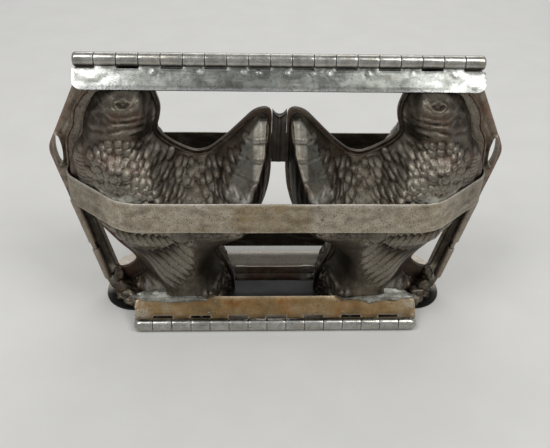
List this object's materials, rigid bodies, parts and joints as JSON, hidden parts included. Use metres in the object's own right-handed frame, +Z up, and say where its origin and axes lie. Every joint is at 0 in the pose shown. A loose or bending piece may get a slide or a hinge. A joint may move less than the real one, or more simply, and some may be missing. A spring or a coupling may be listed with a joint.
{
  "type": "chocolate mould",
  "caption": "Hinged two-part mould for a pair of standing birds, with strap bands, long top hinge and hinged base plate.",
  "frame": {"origin": "centre of the outer box in plan, on the surface that the base plate stands on", "axes": "+X along the hinges towards the right bird, -Y towards the front, +Z up"},
  "size_m": [0.2984, 0.095, 0.1876],
  "materials": {
    "tin_dark": "worn dark tinned steel",
    "tin_grey": "worn grey tinned steel",
    "tin_bright": "bright tin",
    "tin_bronze": "tin worn to a bronze tone",
    "wire_dark": "dark wire"
  },
  "bodies": {
    "base": {"base_plate": "tin_bright", "base_leaf": "tin_bronze"},
    "front_half": {"front_shell_left": "tin_dark", "front_shell_right": "tin_dark", "front_side_plate_left": "tin_dark", "front_side_plate_right": "tin_dark", "front_edge_wire_left": "wire_dark", "front_edge_wire_right": "wire_dark", "front_band": "tin_grey", "front_top_leaf": "tin_bright", "front_bottom_leaf": "tin_bronze", "front_tail_bridge": "tin_dark", "front_foot_strip": "tin_dark", "bottom_hinge_pin": "wire_dark"},
    "rear_half": {"rear_shell_left": "tin_dark", "rear_shell_right": "tin_dark", "rear_side_plate_left": "tin_dark", "rear_side_plate_right": "tin_dark", "rear_band": "tin_grey", "rear_foot_strap": "tin_dark", "rear_top_leaf": "tin_bright", "rear_tail_bridge": "tin_dark", "rear_foot_strip": "tin_dark", "top_hinge_pin": "wire_dark"}
  },
  "joints": [
    {"name": "bottom_hinge", "type": "hinge", "parent": "base", "child": "front_half", "pos_m": [0, -0.043, 0.0045], "axis": [1, 0, 0], "range_deg": [0, 90]},
    {"name": "top_hinge", "type": "hinge", "parent": "front_half", "child": "rear_half", "pos_m": [0, 0, 0.1833], "axis": [1, 0, 0], "range_deg": [0, 180]}
  ]
}
